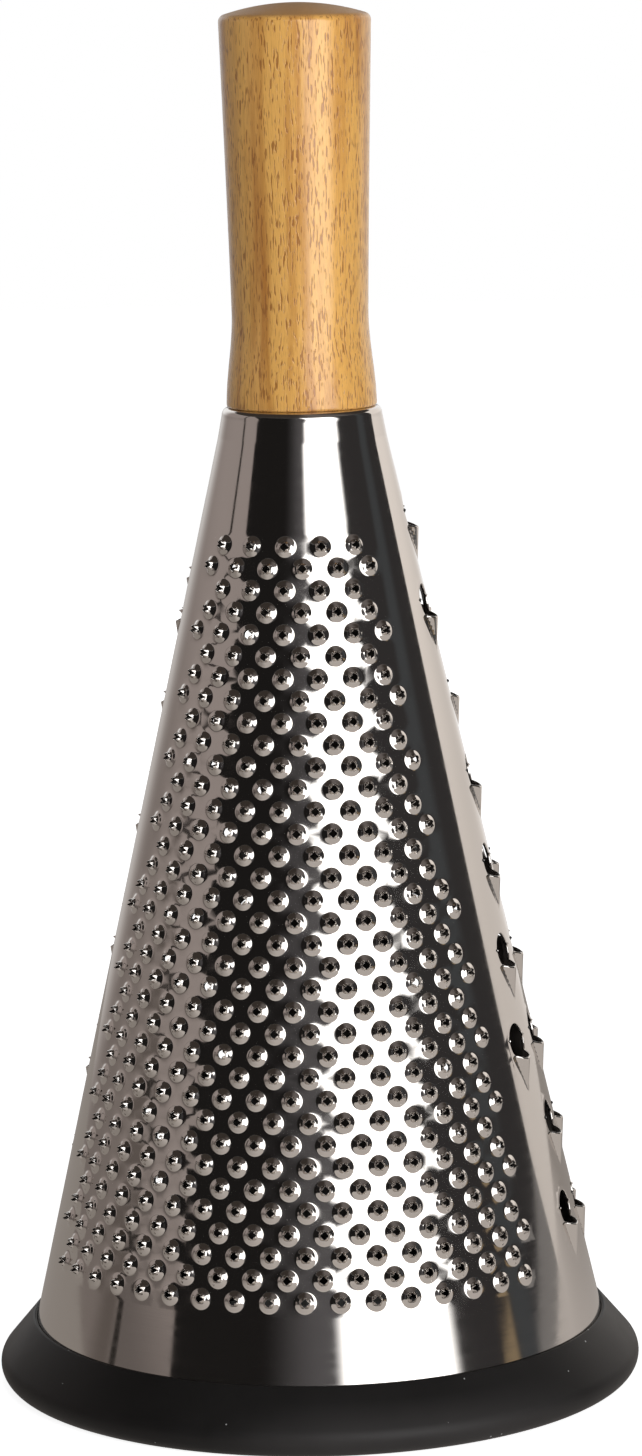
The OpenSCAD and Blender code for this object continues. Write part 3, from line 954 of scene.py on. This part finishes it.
# Bands of the surround, each over those before it: its start and its stop as directions at the
# floor in degrees from the camera, degrees more for each metre of height, and softness; its
# top and the top's softness in metres; and its glow
OPEN_TOP = (1.25, 0.1)
CEILING = (0.045, 0.037, 0.032)
BANDS = (
    ((-20, 0, 50), (110, 0, 60), (3.0, 0.1), (0.16, 0.142, 0.135)),
    ((-181, 0, 0.1), (181, 0, 0.1), OPEN_TOP, (1.0, 1.0, 1.0)),
    ((-181, 0, 0.1), (-100, 0, 10), (0.45, 0.5), (0.50, 0.47, 0.45)),
    ((-160, 0, 30), (-57, 3, 1), OPEN_TOP, (0.34, 0.295, 0.28)),
    ((-160, 0, 30), (-57, 3, 1), (0.45, 0.5), (0.20, 0.172, 0.16)),
    ((-90, 0, 4), (-57, 0, 1), (0.22, 0.12), (0.15, 0.13, 0.122)),
    ((-106, 0, 10), (-90, 0, 4), (0.40, 0.2), (0.13, 0.11, 0.10)),
    ((-91.5, 0, 1), (-87.5, 0, 1), OPEN_TOP, (0.025, 0.022, 0.02)),
    ((-58.5, -17, 1), (118, 0, 0.5), OPEN_TOP, (0.013, 0.0121, 0.0117)),
    ((-24, 0, 26), (14, 0, 1), OPEN_TOP, (0.10, 0.096, 0.10)),
    ((48, 0, 1), (118, 0, 0.5), OPEN_TOP, (0.036, 0.034, 0.0345)),
    ((82, 0, 6), (102, 0, 10), OPEN_TOP, (0.058, 0.062, 0.066)),
    ((92, 0, 5), (118, 0, 1), (0.030, 0.008), (0.22, 0.21, 0.205)),
    ((76, 0, 2), (86, 0, 3), (0.1185, 0.003), (0.28, 0.21, 0.13)),
    ((9.5, -15, 8), (61, -13, 8), (1.16, 0.05), (3.0, 3.0, 3.0)),
    ((117, 0, 0.5), (176, 0, 34), OPEN_TOP, (0.95, 0.885, 0.83)),
    ((117, 0, 0.5), (176, 0, 34), (0.40, 0.35), (0.68, 0.63, 0.59)),
    ((-181, 0, 1), (-172, 0, 8), OPEN_TOP, (0.05, 0.047, 0.045)),
    ((172, 0, 8), (181, 0, 1), OPEN_TOP, (0.05, 0.047, 0.045)),
)


# Sockets of the band group for a band's edges, their slant and their softness
BAND_SOCKETS = ("Start", "Start Slant", "Start Soft", "Stop", "Stop Slant", "Stop Soft",
                "Top", "Top Soft")

WHITE = (1, 1, 1, 1)

# The floor lies a hair below the ring. Its own light for the camera blends it into the
# background, and its glow in reflections is brighter on the lamp's side
FLOOR_Z = -0.02 * MM
FLOOR_RADII = (0.0, 0.4, 3.0)
FLOOR_OPEN_R = RING_R * 0.9
FLOOR_OWN_LIGHT = 0.86
FLOOR_GREY = (0.8, 0.8, 0.8, 1)
FLOOR_GLOW_DARK = (0.30, 0.272, 0.25, 1)
FLOOR_GLOW_LIT = (0.54, 0.50, 0.47, 1)
FLOOR_LIT_RANGE = (-0.06, 0.08)

# Directions of the softboxes and of the floor's glow, from the camera
KEY_TURN = math.radians(26)
BACK_TURN = math.radians(190)
GLOW_TURN = math.radians(40)


def studio_band(name):
    """Node group: where a band of the surround lies, 1 inside its edges and eased to 0 across
    them. Along is the direction in degrees from the camera and Up the height in metres."""
    tree, start, end = new_group(name, dict.fromkeys(("Along", "Up", *BAND_SOCKETS), 1.0), "Mask")

    def edge(far, side):
        """0 to 1 over a side's softness, eased at both ends."""
        return spread(tree, far, 0.0, start[side + " Soft"], interpolation_type="SMOOTHSTEP")

    first = sums(tree, "MULTIPLY_ADD", start["Up"], start["Start Slant"], start["Start"])
    last = sums(tree, "MULTIPLY_ADD", start["Up"], start["Stop Slant"], start["Stop"])
    mask = times(tree, edge(sums(tree, "SUBTRACT", start["Along"], first), "Start"),
                 edge(sums(tree, "SUBTRACT", last, start["Along"]), "Stop"))
    high = edge(sums(tree, "SUBTRACT", start["Top"], start["Up"]), "Top")
    feed(tree, end, {"Mask": times(tree, mask, high)})
    return tree


def bare_tree(owner):
    """The emptied node tree of a material or a world."""
    owner.use_nodes = True
    owner.node_tree.nodes.clear()
    return owner.node_tree


def glowing_material(name):
    """A material that is seen but not sampled as a lamp, and its empty node tree."""
    made = bpy.data.materials.new(name)
    made.cycles.emission_sampling = "NONE"
    return made, bare_tree(made)


def emitted(tree, colour, strength=1.0, kind="Emission"):
    """A shader that gives out light of one colour."""
    return node(tree, kind, {"Color": colour, "Strength": strength}).outputs[0]


def surround_material():
    """The glow of the studio that the steel reflects: softly bordered bands under a ceiling."""
    made, tree = glowing_material("studio_surround")
    spot = node(tree, "SeparateXYZ", {"Vector": node(tree, "TexCoord").outputs["UV"]}).outputs
    along = sums(tree, "MULTIPLY_ADD", spot["X"], 360.0, -180.0)
    colour = rgba(CEILING)
    for start, stop, top, shade in BANDS:
        edges = dict(zip(BAND_SOCKETS, (*start, *stop, *top)))
        mask = grouped(tree, "studio_band", studio_band,
                       {"Along": along, "Up": spot["Y"], **edges})
        colour = blended(tree, mask, colour, rgba(shade))
    node(tree, "OutputMaterial", {"Surface": emitted(tree, colour)})
    return made


def studio_surround(turn, far=1.7, high=1.3, columns=96):
    """An upright round wall with a ceiling, which only reflections show. Its UV is the
    direction from the camera as a share of a turn, and the height in metres."""
    # The skirt stands for what a shiny floor shows of the wall
    rows = ((far * 0.3, 0.001), (far * 0.6, 0.03), (far, 0.10), (far, high), (0.01, high + 0.05))
    points, uvs, faces = [], [], []
    for radius, height in rows:
        for k in range(columns + 1):
            a = turn - math.pi + 2 * math.pi * k / columns
            points.append(around(a, radius, height))
            uvs.append((k / columns, height))
    for v in range((columns + 1) * (len(rows) - 1)):
        if v % (columns + 1) < columns:
            faces.append((v, v + 1, v + columns + 2, v + columns + 1))
    wall = mesh_object("studio_surround", points, faces, surround_material())
    layer = wall.data.uv_layers.new(name="surround")
    for loop in wall.data.loops:
        layer.data[loop.index].uv = uvs[loop.vertex_index]
    wall.visible_camera = False
    wall.visible_diffuse = False
    wall.visible_shadow = False


def studio_world(studio):
    """White to the camera and in reflections, and an even grey light on everything."""
    world = bpy.data.worlds.new("studio")
    bpy.context.scene.world = world
    world.cycles.sampling_method = "NONE"
    tree = bare_tree(world)
    path = node(tree, "LightPath").outputs
    seen = sums(tree, "MAXIMUM", path["Is Camera Ray"],
                sums(tree, "MAXIMUM", path["Is Glossy Ray"], path["Is Transmission Ray"]))
    even = emitted(tree, WHITE, studio.ambient, "Background")
    white = emitted(tree, WHITE, 1.0, "Background")
    mixed = node(tree, "MixShader", {0: seen, 1: even, 2: white}).outputs[0]
    node(tree, "OutputWorld", {"Surface": mixed})


def floor_material(lamp_turn):
    """A pale floor that melts into the white background and keeps a soft shadow. In reflections
    it glows, more towards the lamp; inside the ring it has no light of its own."""
    made, tree = glowing_material("pale_floor")
    path = node(tree, "LightPath").outputs
    spot = node(tree, "NewGeometry").outputs["Position"]
    open_floor = sums(tree, "GREATER_THAN", long(tree, spot), FLOOR_OPEN_R)
    glossy = times(tree, path["Is Glossy Ray"], open_floor)
    power = times(tree, path["Is Camera Ray"], FLOOR_OWN_LIGHT)
    power = times(tree, power, open_floor)
    matte = node(tree, "BsdfDiffuse", {"Color": FLOOR_GREY}).outputs[0]
    pale = node(tree, "AddShader", {0: matte, 1: emitted(tree, WHITE, power)}).outputs[0]
    lit = dotted(tree, spot, around(lamp_turn, 1))
    glow = blended(tree, spread(tree, lit, *FLOOR_LIT_RANGE), FLOOR_GLOW_DARK, FLOOR_GLOW_LIT)
    mixed = node(tree, "MixShader", {0: glossy, 1: pale, 2: emitted(tree, glow)}).outputs[0]
    node(tree, "OutputMaterial", {"Surface": mixed})
    return made


def studio_floor(lamp_turn):
    """A round floor, wide enough to fill the picture."""
    points, faces = lathe([(radius, FLOOR_Z) for radius in FLOOR_RADII], 64, closed=False)
    mesh_object("studio_floor", points, faces, floor_material(lamp_turn))


def studio_lamp(name, turn, radiance, far=1.15, height=0.5, size_x=0.9, size_y=1.0):
    """A softbox that faces the axis at its own height. Reflections show the surround instead."""
    data = bpy.data.lights.new(name, "AREA")
    data.shape = "RECTANGLE"
    data.size, data.size_y = size_x, size_y
    data.energy = radiance * math.pi * size_x * size_y
    lamp = new_object(name, data)
    lamp.location = around(turn, far, height)
    aim = Vector((0, 0, height)) - lamp.location
    lamp.rotation_euler = aim.to_track_quat("-Z", "Y").to_euler()
    lamp.visible_glossy = False


def studio_camera(studio):
    """The camera at the photograph's place."""
    data = bpy.data.cameras.new("camera")
    data.lens = studio.lens
    data.sensor_width = 36.0
    data.clip_start, data.clip_end = 0.05, 20.0
    camera = new_object("camera", data)
    turn = studio.camera_turn
    matrix = Matrix.Translation(around(turn, studio.camera_far, studio.camera_up))
    for angle, axis in ((turn, "Z"), (math.radians(90), "X"), (-studio.yaw, "Y"),
                        (-studio.pitch, "X"), (-studio.roll, "Z")):
        matrix = matrix @ Matrix.Rotation(angle, 4, axis)
    camera.matrix_world = matrix
    bpy.context.scene.camera = camera


class GRATER_OT_stage(bpy.types.Operator):
    """Sets up the camera, the floor, two softboxes and the surround that the steel reflects"""
    bl_idname = "grater.stage"
    bl_label = "Stage"

    def execute(self, context):
        studio = context.scene.grater_studio
        turn = studio.camera_turn
        context.scene.view_settings.view_transform = "Standard"
        studio_camera(studio)
        studio_world(studio)
        studio_floor(turn + GLOW_TURN)
        studio_surround(turn)
        studio_lamp("softbox", turn + KEY_TURN, studio.key)
        studio_lamp("back_softbox", turn + BACK_TURN, studio.back)
        return {"FINISHED"}


class GRATER_PT_panel(bpy.types.Panel):
    """The grater's pieces, one button each"""
    bl_label = "Conical Grater"
    bl_idname = "GRATER_PT_panel"
    bl_space_type = "VIEW_3D"
    bl_region_type = "UI"
    bl_category = "Grater"

    def draw(self, context):
        for step in STEPS:
            self.layout.operator(step.bl_idname)


STEPS = (GRATER_OT_stage, GRATER_OT_cone, GRATER_OT_handle, GRATER_OT_ring, GRATER_OT_fastening)
GROUPS = {"grater_cone": GraterConeSizes, "grater_fine": GraterZone,
          "grater_medium": GraterZone, "grater_coarse": GraterZone,
          "grater_handle": GraterHandleSizes, "grater_ring": GraterRingSizes,
          "grater_finish": GraterFinish, "grater_studio": GraterStudio}
CLASSES = (*dict.fromkeys(GROUPS.values()), *STEPS, GRATER_PT_panel)

# What sets the other two zones apart from the medium one
ZONES = {
    "grater_fine": dict(turn=0.0, rows=35, first_odd=1, top_gap=25.2 * MM, bottom_gap=15 * MM,
                        pitch=6.8 * MM, top_w=27.2 * MM, bottom_w=108.8 * MM, hole=0.85 * MM,
                        height=1.55 * MM, reach=2.36 * MM),
    "grater_coarse": dict(turn=math.radians(120), rows=9, first_odd=0, top_gap=21 * MM,
                          bottom_gap=23 * MM, pitch=13 * MM, top_w=11 * MM, bottom_w=67 * MM,
                          hole=3.5 * MM, height=1.8 * MM, reach=6.5 * MM),
}


def register():
    """Registers the sizes, the operators and the panel."""
    for kind in CLASSES:
        bpy.utils.register_class(kind)
    for name, kind in GROUPS.items():
        setattr(bpy.types.Scene, name, bpy.props.PointerProperty(type=kind))


def unregister():
    """Takes back what register made."""
    for name in GROUPS:
        delattr(bpy.types.Scene, name)
    for kind in reversed(CLASSES):
        bpy.utils.unregister_class(kind)


def main():
    """Builds the whole scene."""
    register()
    for group, values in ZONES.items():
        for name, value in values.items():
            setattr(getattr(bpy.context.scene, group), name, value)
    bpy.ops.grater.stage()
    bpy.ops.grater.cone()
    bpy.ops.grater.handle()
    bpy.ops.grater.ring()
    bpy.ops.grater.fastening()


if __name__ == "__main__":
    main()
